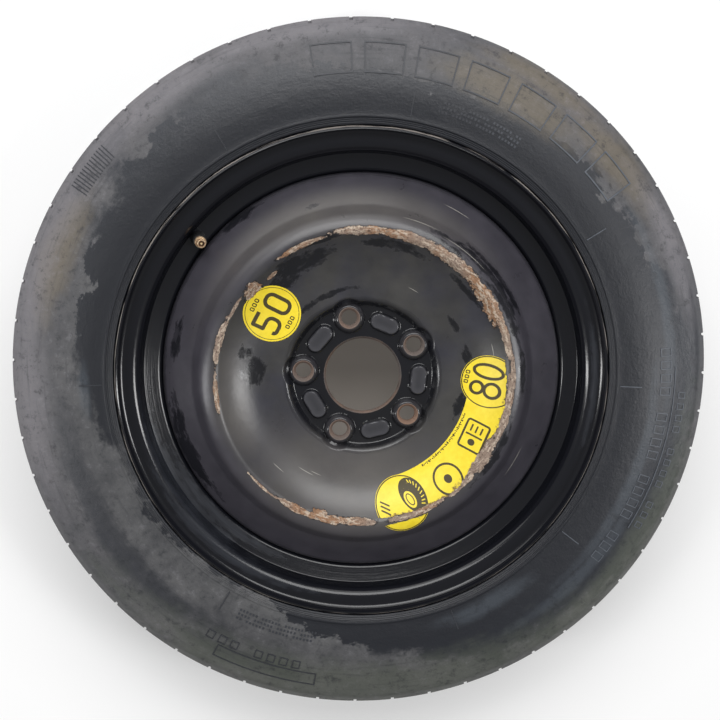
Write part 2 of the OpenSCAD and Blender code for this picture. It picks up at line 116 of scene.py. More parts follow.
def arc(corner, before, after, radius, sag):
    """Points of a fillet of that radius at a corner between two others, with facets within sag of it."""
    u = (Vector(before) - corner).normalized()
    v = (Vector(after) - corner).normalized()
    half = math.acos(max(-1.0, min(1.0, u.dot(v)))) / 2
    centre = corner + (u + v).normalized() * radius / math.sin(half)
    start = corner + u * radius / math.tan(half) - centre
    end = corner + v * radius / math.tan(half) - centre
    turn = math.atan2(start.x * end.y - start.y * end.x, start.dot(end))
    count = max(2, math.ceil(abs(turn) / (2 * math.acos(1 - sag / max(radius, 0.2)))))
    first = math.atan2(start.y, start.x)
    return [centre + radius * Vector((math.cos(first + turn * k / count), math.sin(first + turn * k / count)))
            for k in range(count + 1)]


def rounded(corners, radii, sag=0.01):
    """An outline through the corners, each with its own fillet."""
    points = [Vector(c) for c in corners]
    out = []
    for i, p in enumerate(points):
        if radii[i] <= 0 or i in (0, len(points) - 1):
            out.append(p)
        else:
            out += arc(p, points[i - 1], points[i + 1], radii[i], sag)
    return out


def shifted(corners, radii, d):
    """The outline's corners and radii moved by d to the left of its direction."""
    points = [Vector(c) for c in corners]
    sides = [(b - a).normalized() for a, b in zip(points, points[1:])]
    moved, new_radii = [], []
    for i, p in enumerate(points):
        a, b = sides[max(i - 1, 0)], sides[min(i, len(sides) - 1)]
        m, n = Vector((-a.y, a.x)), Vector((-b.y, b.x))
        moved.append(p + d * (m + n) / (1 + m.dot(n)))
        turn = a.x * b.y - a.y * b.x
        new_radii.append(radii[i] - d * math.copysign(1, turn) if radii[i] > 0 else 0)
    return moved, new_radii


def sheet(corners, radii, d):
    """Closed outline of a sheet of thickness |d| on the left of the corners, or on their right."""
    far, far_radii = shifted(corners, radii, d)
    return rounded(corners, radii) + rounded(far, far_radii)[::-1]


def split_long(points, longest):
    """The outline with its long stretches split, so that none is longer than that."""
    out = [points[0]]
    for a, b in zip(points, points[1:]):
        count = max(1, math.ceil((b - a).length / longest))
        out += [a.lerp(b, k / count) for k in range(1, count + 1)]
    return out


# Meshes


def spin_outline(points, closed=True, angle=TAU, steps=720, start=0.0, lift=0.0, sectors=24):
    """A bmesh of the outline turned about Z. Points are (radius, height) in millimetres.

    A whole turn is made of equal sectors, which is much quicker than one long spin.
    """
    whole = angle > 6.28
    bm = bmesh.new()
    verts = [bm.verts.new((p.x * MM, 0, (p.y + lift) * MM)) for p in points]
    edges = [bm.edges.new(pair) for pair in zip(verts, verts[1:])]
    if closed:
        edges.append(bm.edges.new((verts[-1], verts[0])))
    bmesh.ops.rotate(bm, verts=verts, cent=(0, 0, 0), matrix=Matrix.Rotation(start, 3, "Z"))
    share = sectors if whole else 1
    bmesh.ops.spin(bm, geom=verts + edges, cent=(0, 0, 0), axis=(0, 0, 1), dvec=(0, 0, 0),
                   angle=angle / share, steps=steps // share, use_merge=False, use_duplicate=False)
    if whole:
        part = bpy.data.meshes.new("sector")
        bm.to_mesh(part)
        for k in range(1, sectors):
            part.transform(Matrix.Rotation(angle / sectors, 4, "Z"))
            bm.from_mesh(part)
        bpy.data.meshes.remove(part)
        bmesh.ops.remove_doubles(bm, verts=bm.verts, dist=1e-6)
    return bm


def merge(bm, other):
    """Adds the geometry of another bmesh, and frees that one."""
    part = bpy.data.meshes.new("part")
    other.to_mesh(part)
    other.free()
    bm.from_mesh(part)
    bpy.data.meshes.remove(part)


def linked(name, data):
    """A new object in the scene with that data."""
    made = bpy.data.objects.new(name, data)
    bpy.context.scene.collection.objects.link(made)
    return made


def as_object(name, bm, sharp=35):
    """The bmesh as a mesh object with outward normals and smooth shading between sharp edges."""
    bmesh.ops.recalc_face_normals(bm, faces=bm.faces)
    mesh = bpy.data.meshes.new(name)
    bm.to_mesh(mesh)
    bm.free()
    mesh.shade_smooth()
    mesh.set_sharp_from_angle(angle=math.radians(sharp))
    return linked(name, mesh)


def combine(piece, other, operation):
    """Cuts other out of the piece, or keeps what both share, and removes other."""
    step = piece.modifiers.new("combine", "BOOLEAN")
    step.operation = operation
    step.object = other
    step.solver = "MANIFOLD"
    graph = bpy.context.evaluated_depsgraph_get()
    mesh = bpy.data.meshes.new_from_object(piece.evaluated_get(graph))
    piece.modifiers.clear()
    piece.data = mesh
    bpy.data.objects.remove(other)
    return piece


def shade(piece, sharp):
    """Smooth shading between edges that turn by more than that many degrees."""
    piece.data.shade_smooth()
    piece.data.set_sharp_from_angle(angle=math.radians(sharp))


def fit(piece, material, *nodes, slot=None, body="wheel"):
    """Gives the piece its material and its body, and hides the CAD nodes that it stands for. Its slot is not used.
    """
    piece.data.materials.clear()
    piece.data.materials.append(material)
    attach(piece, body)
    if nodes:
        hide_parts(*nodes)
    return piece


# Rim


def make_rim(paint):
    front = [LIP_END, (FLANGE_TOP, LIP_W), (FLANGE_TOP, HALF_W), (BEAD_R, HALF_W),
             (seat_at(HUMP_FOOT_W), HUMP_FOOT_W), (HUMP_TOP, HUMP_W), (WELL_R, WELL_FRONT_W)]
    rear = [(WELL_R, WELL_REAR_W), (HUMP_TOP, -HUMP_W), (seat_at(HUMP_FOOT_W), -HUMP_FOOT_W),
            (BEAD_R, -HALF_W), (FLANGE_TOP, -HALF_W), (FLANGE_TOP, -LIP_W), (LIP_END[0], -LIP_END[1])]
    radii = [0, 4.5, 8, 6, 3, 3.7, 3.5, 6, 3.7, 3, 6, 8, 4.5, 0]
    bm = spin_outline(sheet(front + rear, radii, -RIM_T), steps=384, lift=-WHEEL_OFFSET)
    rim = as_object("rim_sheet", bm)
    hole = bmesh.new()
    bmesh.ops.create_cone(hole, cap_ends=True, segments=48, radius1=5.65 * MM, radius2=5.65 * MM, depth=20 * MM,
                          matrix=valve_place())
    combine(rim, as_object("rim_hole", hole), "DIFFERENCE")
    shade(rim, 35)
    return fit(rim, paint, "rim", slot="black_paint")


def valve_place(height=0.0):
    """Matrix of the valve's own frame, moved up its axis by a height in millimetres."""
    turn = Matrix.Rotation(VALVE_DIR, 4, "Z") @ Matrix.Rotation(-VALVE_LEAN, 4, "Y")
    return Matrix.Translation(Vector(VALVE_BASE) * MM) @ turn @ Matrix.Translation((0, 0, height * MM))


# Disc


FACE = [(BORE_R, DISC_T - BORE_BEVEL), (BORE_R + BORE_BEVEL, DISC_T), (63.53, DISC_T), (RECESS_R, RECESS_Z),
        (109.0, 14.76), (130.5, 34.4), (143.0, 31.7), (152.5, 18.2), (SKIRT_R, -3.96), (SKIRT_R, SKIRT_END)]
FACE_RADII = [0, 0.6, 2.5, 5, 72, 9, 17, 14, 12, 0]
FACE_LINE = rounded(FACE, FACE_RADII, 0.02)
# Out to this radius the disc's mesh is fine enough to be pressed into bosses and pads
HUB_EDGE_R = 84


def step_between(low, high, x):
    """0 below low, 1 above high, and an even S curve between them."""
    t = max(0.0, min(1.0, (x - low) / (high - low)))
    return t * t * (3 - 2 * t)


def blend_low(a, b, room):
    """The lower of two heights, rounded where they meet."""
    h = max(room - abs(a - b), 0) / room
    return min(a, b) - h * h * room / 4


def blend_high(a, b, room):
    """The higher of two heights, rounded where they meet."""
    return -blend_low(-a, -b, room)


def hub_height(x, y, base):
    """Height of the pressed hub face, with its lobes, bosses and pads."""
    z = base
    for i in range(BOLT_COUNT):
        a = math.radians(BOLT_START + 360 / BOLT_COUNT * i)
        d = math.hypot(x - BOLT_R * math.cos(a), y - BOLT_R * math.sin(a))
        if d < LOBE_R + 8:
            lobe = FLOOR_Z + max(0.0, d - LOBE_R + 1.2) * 2.2
            z = blend_low(z, lobe, 1.6)
            boss = FLOOR_Z - 1 + (BOSS_H + 1) * step_between(BOSS_FOOT_R + 1.2, BOSS_TOP_R - 0.6, d)
            z = blend_high(z, boss, 1.0)
        a += math.radians(180 / BOLT_COUNT)
        along = -x * math.sin(a) + y * math.cos(a)
        out = x * math.cos(a) + y * math.sin(a) - PAD_R
        d = math.hypot(out, max(0.0, abs(along) - (PAD_L - PAD_W) / 2))
        if out > -2 * PAD_W and d < PAD_W:
            pad = FLOOR_Z - 1 + (PAD_H + 1) * step_between(PAD_W / 2 + 0.5, PAD_W / 2 - 2.6, d)
            z = blend_high(z, pad - 0.9 * step_between(8.0, 0, d), 1.2)
    return z


def make_disc(paint):
    near = [p for p in split_long(FACE_LINE, 0.9) if p.x < HUB_EDGE_R]
    far = [p for p in FACE_LINE if p.x >= HUB_EDGE_R]
    back_corners, back_radii = shifted([(BORE_R, DISC_T)] + FACE[2:], [0] + FACE_RADII[2:], -DISC_T)
    back = rounded(back_corners, back_radii, 0.05)[::-1]
    bm = spin_outline(near + far + back, steps=576)
    lowest = (DISC_T - BORE_BEVEL + 0.2) * MM
    for v in bm.verts:
        radius = math.hypot(v.co.x, v.co.y) / MM
        if BORE_R + BORE_BEVEL + 0.4 < radius < HUB_EDGE_R and v.co.z > lowest:
            v.co.z = hub_height(v.co.x / MM, v.co.y / MM, v.co.z / MM) * MM
    disc = as_object("disc_pressing", bm)
    cutter = bmesh.new()
    cone_h = (SEAT_R - BOLT_HOLE_R) / math.tan(math.radians(30))
    seat_z = FLOOR_Z + BOSS_H
    line = [(0, -20), (BOLT_HOLE_R, -20), (BOLT_HOLE_R, seat_z - cone_h), (SEAT_R, seat_z),
            (SEAT_R + 0.5, seat_z + 0.6), (SEAT_R + 0.5, 30), (0, 30)]
    for i in range(BOLT_COUNT):
        a = math.radians(BOLT_START + 360 / BOLT_COUNT * i)
        drill = spin_outline([Vector(p) for p in line], closed=False, steps=72, sectors=1)
        bmesh.ops.translate(drill, verts=drill.verts, vec=(BOLT_R * MM * math.cos(a), BOLT_R * MM * math.sin(a), 0))
        merge(cutter, drill)
    combine(disc, as_object("disc_holes", cutter), "DIFFERENCE")
    shade(disc, 40)
    return fit(disc, paint, "wheel_disc", slot="black_paint")


# Tyre


def side_outline(ring_fillet, sag):
    """Outer outline of half the tyre, from the bead's toe to the middle of the tread."""
    rib_r, rib_w = FLANGE_TOP + 6.3, TYRE_HALF_W - 1.9
    lip = [(seat_at(37.5), 37.5), (BEAD_R, HALF_W), (FLANGE_TOP + 0.6, HALF_W), (FLANGE_TOP + 0.6, LIP_W - 0.6)]
    lines = []
    for r in (222.3, 223.9, 225.3):
        w = LIP_W - 0.6 + (r - FLANGE_TOP - 0.6) * (rib_w - LIP_W + 0.6) / 5.7
        lines += [(r - 0.45, w), (r - 0.15, w + 0.35), (r + 0.15, w + 0.35), (r + 0.45, w)]
    rib = [(rib_r, rib_w), (rib_r + 0.4, rib_w + 1), (rib_r + 2.1, rib_w + 1.1), (rib_r + 2.6, rib_w + 0.4)]
    side = [(258.7, TYRE_HALF_W + 1.8), (303.7, TREAD_HALF_W + 9), (312.8, TREAD_HALF_W)]
    crown = [(TYRE_R, 14)]
    radii = [0, 7, 8.6, 1.0] + [ring_fillet] * len(lines) + [0.5, 0.4, 0.4, 0.5, 120, 14, 3.5, 0]
    return rounded(lip + lines + rib + side + crown, radii, sag)


SIDE_LINE = side_outline(0.1, 0.01)


def side_point(radius):
    """Point of the sidewall's outer face at a radius beyond the rim protector."""
    for a, b in zip(SIDE_LINE, SIDE_LINE[1:]):
        if a.x > 229 and a.x <= radius <= b.x:
            return a.lerp(b, (radius - a.x) / (b.x - a.x))
    return SIDE_LINE[-1]


def grooved(line):
    """The outline of half the tyre with grooves in its tread."""
    crown = []
    for w in (31, 11):
        r = 312.8 + 2.9 * (TREAD_HALF_W - w) / (TREAD_HALF_W - 14) if w > 14 else TYRE_R
        crown += [Vector((r, w + 3)), Vector((r - 3, w + 2.8)), Vector((r - 3, w - 2.8)), Vector((r, w - 3))]
    return [p for p in split_long(line, 6.0) if p.x < 312.7 or p.y > 34.5] + crown


def mirrored(points):
    """The outline on the other side of the mid plane."""
    return [Vector((p.x, -p.y)) for p in points]


def make_tyre(rubber):
    rear = mirrored(grooved(side_outline(0, 0.08)))
    inner = rounded([(206.1, 36.7), (216.1, 43.8), (232.1, 55.7), (261.7, 58.6), (291.7, 51.0), (304.2, 38.0),
                     (305.2, 10)], [0, 12, 20, 60, 20, 14, 0], 0.3)
    steps = NOTCH_COUNT * NOTCH_STEPS
    bm = spin_outline(grooved(SIDE_LINE) + rear[::-1] + mirrored(inner) + inner[::-1], steps=steps,
                      lift=-WHEEL_OFFSET, sectors=11)
    step = TAU / steps
    cuts = []
    for face in bm.faces:
        c = face.calc_center_median()
        radius, w = math.hypot(c.x, c.y) / MM, abs(c.z / MM + WHEEL_OFFSET)
        place = int((math.atan2(c.y, c.x) % TAU) / step) % NOTCH_STEPS
        if place == 0 and radius > 308.2 and w > 42 and abs(face.normal.z) < 0.99:
            cuts.append(face)

    # The steps are even up to here. They turn so that the notch's own step is as wide as a notch.
    rest = (1 - NOTCH_SHARE) / (NOTCH_STEPS - 1)
    shares = [0] + [NOTCH_SHARE + rest * k for k in range(NOTCH_STEPS - 1)]
    turns = [Matrix.Rotation(share * TAU / NOTCH_COUNT - k * step, 3, "Z") for k, share in enumerate(shares)]
    for v in bm.verts:
        v.co = turns[round(math.atan2(v.co.y, v.co.x) / step) % NOTCH_STEPS] @ v.co

    moved = bmesh.ops.extrude_face_region(bm, geom=cuts)
    bmesh.ops.delete(bm, geom=cuts, context="FACES")
    for v in (g for g in moved["geom"] if isinstance(g, bmesh.types.BMVert)):
        out = Vector((v.co.x, v.co.y, 0)).normalized()
        v.co -= out * min(NOTCH_DEPTH, math.hypot(v.co.x, v.co.y) / MM - 307.8) * MM
    return fit(as_object("tyre_rubber", bm, 32), rubber, "tyre", slot="tyre_rubber")


def side_patch(bm, r_from, r_to, a_from, a_to, height):
    """Adds a low raised patch on the sidewall, between two radii and two directions in degrees."""
    count = max(1, math.ceil((r_to - r_from) / 2.5))
    line = [side_point(r_from + (r_to - r_from) * k / count) for k in range(count + 1)]
    patch = spin_outline(line, closed=False, angle=math.radians(a_to - a_from), start=math.radians(a_from),
                         steps=max(1, math.ceil(a_to - a_from)), lift=-WHEEL_OFFSET - MARK_ROOT)
    top = bmesh.ops.extrude_face_region(patch, geom=patch.faces[:])
    raised = [g for g in top["geom"] if isinstance(g, bmesh.types.BMVert)]
    bmesh.ops.translate(patch, verts=raised, vec=(0, 0, (height + MARK_ROOT) * MM))
    merge(bm, patch)


def block_mark(bm, r_from, r_to, a_from, a_to, line, height):
    """Adds the raised outline of a plain block on the sidewall."""
    turn = math.degrees(line / r_to)
    for low in (r_from, r_to - line):
        side_patch(bm, low, low + line, a_from, a_to, height)
    for low in (a_from, a_to - turn):
        side_patch(bm, r_from + line, r_to - line, low, low + turn, height)


def make_side_marks(rubber):
    bm = bmesh.new()
    for a in (-2, -38, -69.5, -122, -179, 120.5, 80, 32):
        half = math.degrees(0.4 / 240)
        side_patch(bm, 230.5, 249.5, a - half, a + half, 0.7)
    side_patch(bm, 280.3, 281.2, -30, 2, 0.6)
    block_mark(bm, 280.5, 293.4, -118.5, -99, 0.9, 0.5)
    for k in range(14):
        a = 146 - k * 0.62
        side_patch(bm, 287, 303, a - 0.09, a + 0.09, 0.4)
    for k in range(7):
        a = 92 - 9.3 * k
        block_mark(bm, 263, 290, a, a + 7.2, 1.2, 0.6)
    rows = ((266.5, 277, 4.0, -2.5, 1.6, 18), (285, 292, -4.0, -2.1, 1.2, 13), (270, 278.5, -104.0, -2.5, 1.6, 8))
    for low, high, first, pitch, width, count in rows:
        for k in range(count):
            if k % 5 != 4:
                block_mark(bm, low, high, first + pitch * k, first + pitch * k + width, 0.8, 0.5)
    for first in (57, -118):
        for row in range(3):
            for k in range(24):
                if (k + 2 * row) % 7 != 6:
                    a = first + 0.75 * k
                    side_patch(bm, 239 + 4 * row, 241 + 4 * row, a, a + 0.4, 0.35)
    return fit(as_object("side_marks", bm, 30), rubber, slot="tyre_rubber")


# Stickers


def shell(low, high, start, end):
    """A thin shell over the disc's outer face, between two heights above it and two directions."""
    corners, radii = FACE[3:9], [0] + FACE_RADII[4:8] + [0]
    under = rounded(*shifted(corners, radii, low))
    over = rounded(*shifted(corners, radii, high))
    bm = spin_outline(under + over[::-1], angle=math.radians(end - start), steps=round((end - start) * 2),
                      start=math.radians(start))
    rims = [e for e in bm.edges if e.is_boundary]
    bmesh.ops.edgeloop_fill(bm, edges=rims)
    return as_object("shell", bm)


def prism(bm, faces):
    """Extrudes flat faces into a prism that passes through the shell."""
    top = bmesh.ops.extrude_face_region(bm, geom=faces)
    raised = [g for g in top["geom"] if isinstance(g, bmesh.types.BMVert)]
    bmesh.ops.translate(bm, verts=raised, vec=(0, 0, 60 * MM))


def plate(bm, points, place):
    """Adds a prism with the outline of the points, in millimetres, moved by a matrix."""
    verts = [bm.verts.new(place @ Vector((p[0] * MM, p[1] * MM, 0))) for p in points]
    prism(bm, [bm.faces.new(verts)])


def frame_of(bm, outer, inner, place):
    """Adds a ring-shaped prism between two closed outlines, moved by a matrix."""
    edges = []
    for points in (outer, inner):
        verts = [bm.verts.new(place @ Vector((p[0] * MM, p[1] * MM, 0))) for p in points]
        edges += [bm.edges.new(pair) for pair in zip(verts, verts[1:] + verts[:1])]
    prism(bm, bmesh.ops.bridge_loops(bm, edges=edges)["faces"])


def oval(half_w, half_h, radius, shift=(0, 0), count=8):
    """Closed outline of a rectangle with rounded corners."""
    radius = max(radius, 0.05)
    points = []
    for corner in range(4):
        sx, sy = ((1, 1), (-1, 1), (-1, -1), (1, -1))[corner]
        cx, cy = shift[0] + sx * (half_w - radius), shift[1] + sy * (half_h - radius)
        for k in range(count + 1):
            t = math.radians(90 * corner + 90 * k / count)
            points.append((cx + radius * math.cos(t), cy + radius * math.sin(t)))
    return points


def ellipse(half_w, half_h, shift=(0, 0), count=48):
    """Closed outline of an ellipse."""
    return [(shift[0] + half_w * math.cos(TAU * k / count), shift[1] + half_h * math.sin(TAU * k / count))
            for k in range(count)]


def loop(bm, half_w, half_h, radius, line, place, shift=(0, 0), count=8):
    """Adds a printed closed line round a rounded rectangle whose middle line has those half sizes."""
    h = line / 2
    outer = oval(half_w + h, half_h + h, radius + h, shift, count)
    inner = oval(half_w - h, half_h - h, radius - h, shift, count)
    frame_of(bm, outer, inner, place)


def ring(bm, half_w, half_h, line, place, shift=(0, 0)):
    """Adds a printed ring round an ellipse whose middle line has those half axes."""
    h = line / 2
    frame_of(bm, ellipse(half_w + h, half_h + h, shift), ellipse(half_w - h, half_h - h, shift), place)


def stroke(bm, corners, radii, line, place):
    """Adds a printed open line along rounded corners."""
    left = rounded(*shifted(corners, radii, line / 2))
    right = rounded(*shifted(corners, radii, -line / 2))
    plate(bm, left + right[::-1], place)


def sticker_place(radius, direction, turn=0.0):
    """Matrix of a flat place on the disc, with X along its direction turned by an angle."""
    a = math.radians(direction)
    centre = (radius * MM * math.cos(a), radius * MM * math.sin(a), -10 * MM)
    return Matrix.Translation(centre) @ Matrix.Rotation(a + math.radians(turn), 4, "Z")


FLAT = Matrix.Translation((0, 0, -10 * MM))


def cut_shape(points, place=FLAT):
    """A prism object with that outline, for cutting films and prints."""
    bm = bmesh.new()
    plate(bm, points, place)
    return as_object("outline", bm)


def arc_line(radius, start, end):
    """Points of an arc round the wheel's axis between two directions."""
    count = round(abs(end - start) * 2)
    turns = [math.radians(start + (end - start) * k / count) for k in range(count + 1)]
    return [(radius * math.cos(t), radius * math.sin(t)) for t in turns]


def worn_line(edge, start, end, rough, seed):
    """Points of a ragged arc through (direction, radius) values, between two directions."""
    points = []
    for k in range(round((end - start) * 3) + 1):
        degrees = start + k / 3
        for (a, low), (b, high) in zip(edge, edge[1:]):
            if a <= degrees <= b:
                radius = low + (high - low) * (degrees - a) / (b - a)
        radius += rough * noise.fractal(Vector((degrees * 0.4, seed, 0)), 0.6, 2.2, 5)
        points.append((radius * math.cos(math.radians(degrees)), radius * math.sin(math.radians(degrees))))
    return points


def worn_disc(radius, flat_at, flat_dir, rough, seed):
    """Outline of a disc that lost a flat, ragged piece at a distance and a direction from its centre."""
    points = []
    for k in range(180):
        t = math.radians(2 * k)
        ragged = rough * noise.fractal(Vector((math.cos(t) * 4, math.sin(t) * 4, seed)), 0.6, 2.2, 5)
        reach = math.cos(t - math.radians(flat_dir))
        limit = (flat_at + ragged) / reach if reach > 0.5 else radius
        points.append((min(radius, limit) * math.cos(t), min(radius, limit) * math.sin(t)))
    return points


def copied(thing):
    """A second object with its own copy of the mesh."""
    return linked(thing.name, thing.data.copy())


def small_signs(bm, place, height):
    """Adds a row of three small open squares in place of a word."""
    for k in (-1, 0, 1):
        loop(bm, 1.2, 1.55, 0.5, 0.9, place, (4.4 * k, height), count=3)


def film_of(name, low, high, outline, material, span, *nodes, slot=None):
    """A film over the disc between two heights, cut to an outline."""
    film = shell(low, high, *span)
    combine(film, outline, "INTERSECT")
    film.name = name
    shade(film, 30)
    fit(film, material, *nodes, slot=slot)


def print_on(name, kept, drawn, ink, span):
    """Turns drawn prisms into a thin print on the film, as far as the film is kept."""
    lines = as_object("outline", drawn) if isinstance(drawn, bmesh.types.BMesh) else drawn
    combine(lines, kept, "INTERSECT")
    film_of(name, PRINT_FOOT, STICKER_LIFT + STICKER_T + PRINT_T, lines, ink, span)


def make_round_sticker(vinyl, ink):
    span = (ROUND_DIR - 20.5, ROUND_DIR + 20.5)
    kept = cut_shape(worn_disc(ROUND_R, 22.6, -14, 1.6, 4.2), sticker_place(ROUND_AT, ROUND_DIR))
    drawn = bmesh.new()
    ring(drawn, 23.5, 23.5, 0.5, sticker_place(ROUND_AT, ROUND_DIR))
    reading = sticker_place(ROUND_AT, ROUND_DIR, -83)
    w, h = 5.95, 11.05
    five = [(w, h), (-w, h), (-w, 1.4), (w, 1.4), (w, -h), (-w, -h), (-w, -7.8)]
    stroke(drawn, [(x - 9.8, y) for x, y in five], [0, 0.3, 0.3, 5, 5, 3, 0], 3.4, reading)
    loop(drawn, w, h, 5.2, 3.4, reading, (9.8, 0))
    small_signs(drawn, reading, 17.2)
    small_signs(drawn, reading, -17.4)
    print_on("round_print", copied(kept), drawn, ink, span)
    film_of("round_film", STICKER_LIFT, STICKER_LIFT + STICKER_T, kept, vinyl, span,
            "round_sticker", slot="yellow_vinyl")


def make_long_sticker(vinyl, ink):
    span = (-92, 17)
    low, high = sticker_place(LOW_AT, LONG_FROM), sticker_place(HIGH_AT, LONG_TO)
    kept = cut_shape(arc_line(LONG_IN, LONG_FROM, LONG_TO) + arc_line(140, LONG_TO, LONG_FROM))
    combine(kept, cut_shape(ellipse(END_R, END_R, count=120), high), "UNION")
    combine(kept, cut_shape(ellipse(END_R, END_R, count=120), low), "UNION")
    inside = cut_shape(arc_line(80, -99, 19) + worn_line(WORN_EDGE, -99, 19, 1.1, 1.7)[::-1])
    combine(kept, inside, "INTERSECT")
    sliver = cut_shape(ellipse(END_R, END_R, count=120), low)
    beyond = cut_shape(worn_line(SLIVER_EDGE, -95, -57, 0.9, 6.3) + arc_line(150, -57, -95))
    combine(sliver, beyond, "INTERSECT")
    combine(kept, sliver, "UNION")

    drawn = bmesh.new()
    reading = sticker_place(HIGH_AT, LONG_TO, 79.6)
    ring(drawn, 23.1, 23.1, 1.0, high)
    ring(drawn, 6.0, 12.15, 2.7, reading, (8.9, 2.3))
    ring(drawn, 5.3, 5.3, 2.7, reading, (-7.6, 8.65))
    lower_half = bmesh.new()
    ring(lower_half, 6.4, 6.4, 2.7, reading, (-7.45, -4.3))
    small_signs(drawn, reading, 19.0)
    ring(drawn, 23.1, 23.1, 1.0, low)

    first = sticker_place(113.3, -28.2, 94)
    loop(drawn, 13.0, 9.6, 2.0, 1.8, first)
    plate(drawn, oval(0.8, 7.4, 0.3), first)
    for k in (-1, 0, 1):
        plate(drawn, oval(3.3, 0.7, 0.5, (6.3, 4.4 * k)), first)
    plate(drawn, ellipse(3.0, 3.0, (-6.2, 0)), first)
    second = sticker_place(119.5, -50.2)
    ring(drawn, 12.5, 12.5, 1.9, second)
    plate(drawn, ellipse(3.6, 3.6), second)
    tilted = sticker_place(115.6, -67.4, 16.4)
    dark = bmesh.new()
    frame_of(dark, ellipse(15.5, 10.3), ellipse(7.4, 4.6, (2.0, -4.1)), tilted)
    dark = as_object("outline", dark)
    slots = bmesh.new()
    for k in range(9):
        t = math.radians(28 + 15.5 * k)
        at = tilted @ Matrix.Translation((12.4 * MM * math.cos(t), 7.6 * MM * math.sin(t), -1 * MM))
        plate(slots, oval(1.7, 0.45, 0.3, count=2), at @ Matrix.Rotation(t + 0.5, 4, "Z"))
    combine(dark, as_object("outline", slots), "DIFFERENCE")
    ring(drawn, 4.9, 2.6, 0.9, tilted, (2.0, -4.1))
    for k in range(3):
        at = sticker_place(117 + 3.4 * k, -80.5, 60)
        plate(drawn, oval(4.6, 0.65, 0.4), at)
    for k in range(40):
        word = sticker_place(98.6, -20.5 - 0.92 * k - (0.35 if k % 7 > 4 else 0), 90)
        half_w, half_h = ((0.7, 0.5), (0.34, 1.3), (0.72, 0.5), (0.36, 0.9), (0.6, 1.15))[k % 5]
        plate(drawn, oval(half_w, half_h, 0.25, (0, 0.4 * (k % 2)), count=2), word)
    lines = combine(as_object("outline", drawn), as_object("outline", lower_half), "UNION")
    combine(lines, dark, "UNION")
    print_on("long_print", copied(kept), lines, ink, span)
    film_of("long_film", STICKER_LIFT, STICKER_LIFT + STICKER_T, kept, vinyl, span,
            "long_sticker", slot="yellow_vinyl")


# Materials


def add(tree, kind, *given, out=0, **settings):
    """Adds a node with its settings and returns one of its outputs.

    Its sockets are set or linked from the values given, in their order or as one dict.
    """
    made = tree.nodes.new("ShaderNode" + kind)
    for name, value in settings.items():
        setattr(made, name, value)
    sockets = given[0] if given and isinstance(given[0], dict) else dict(enumerate(given))
    for place, value in sockets.items():
        if isinstance(value, bpy.types.NodeSocket):
            tree.links.new(value, made.inputs[place])
        else:
            made.inputs[place].default_value = value
    return made.outputs[out] if len(made.outputs) else made


def new_material(name):
    """A material with its shader linked to the output. Returns the material, its tree and the shader."""
    material = bpy.data.materials.new(name)
    material.use_nodes = True
    tree = material.node_tree
    tree.nodes.clear()
    surface = add(tree, "BsdfPrincipled")
    add(tree, "OutputMaterial", {"Surface": surface})
    return material, tree, surface.node


def wheel_polar(tree):
    """Position on the wheel: the point itself, its radius in millimetres, and (radius, direction, 0)."""
    point = add(tree, "TexCoord", out="Object")
    flat = add(tree, "VectorMath", point, (1000, 1000, 0), operation="MULTIPLY")
    radius = add(tree, "VectorMath", flat, out="Value", operation="LENGTH")
    x = add(tree, "SeparateXYZ", flat)
    angle = add(tree, "Math", x.node.outputs[1], x, operation="ARCTAN2")
    degrees = add(tree, "Math", angle, operation="DEGREES")
    return point, radius, add(tree, "CombineXYZ", radius, degrees, 0.0)


def along(tree, point, radius, length_mm, width_mm):
    """Coordinates in which a pattern is drawn out round the wheel, with no seam."""
    flat = add(tree, "VectorMath", point, (1, 1, 0), operation="MULTIPLY")
    round_it = add(tree, "VectorMath", flat, operation="NORMALIZE")
    reach = TYRE_R / length_mm
    wide = add(tree, "VectorMath", round_it, (reach, reach, 0), operation="MULTIPLY")
    across = add(tree, "Math", radius, 1 / width_mm, operation="MULTIPLY")
    lift = add(tree, "CombineXYZ", 0.0, 0.0, across)
    return add(tree, "VectorMath", wide, lift, operation="ADD")


def patches(tree, polar, rough, spots, soft=0.3, ragged=1.4):
    """Mask of oval patches, each given as (radius, direction, half its width, half its angle)."""
    mask = None
    edge = add(tree, "Math", rough, 0.5, operation="SUBTRACT")
    for at, direction, half_r, half_a in spots:
        off = add(tree, "VectorMath", polar, (at, direction, 0), operation="SUBTRACT")
        off = add(tree, "VectorMath", off, (1e4, 180, 1e4), (-1e4, -180, -1e4), operation="WRAP")
        off = add(tree, "VectorMath", off, (1 / half_r, 1 / half_a, 0), operation="MULTIPLY")
        off = add(tree, "VectorMath", off, out="Value", operation="LENGTH")
        off = add(tree, "Math", edge, ragged, off, operation="MULTIPLY_ADD")
        spot = add(tree, "MapRange", off, 1 + soft, 1 - soft, interpolation_type="SMOOTHSTEP")
        mask = spot if mask is None else add(tree, "Math", mask, spot, operation="MAXIMUM")
    return mask


def tint(tree, share, first, second):
    """Colour between two others, each an sRGB hex or a socket."""
    first = linear(first) if isinstance(first, str) else first
    second = linear(second) if isinstance(second, str) else second
    return add(tree, "Mix", {0: share, 6: first, 7: second}, out=2, data_type="RGBA")


# Directions of the patches are degrees from +X towards +Y, radii are in millimetres.
# Where the dusty part of the sidewall begins, by direction
DUST_FROM = [(-180, 252), (-172, 238), (-160, 225), (-120, 222), (-108, 232), (-96, 246), (-78, 262), (-62, 288),
             (-45, 292), (-28, 297), (-12, 302), (4, 300), (18, 284), (32, 270), (48, 267), (62, 264), (78, 263),
             (92, 266), (106, 274), (122, 276), (138, 270), (150, 262), (165, 254), (180, 252)]
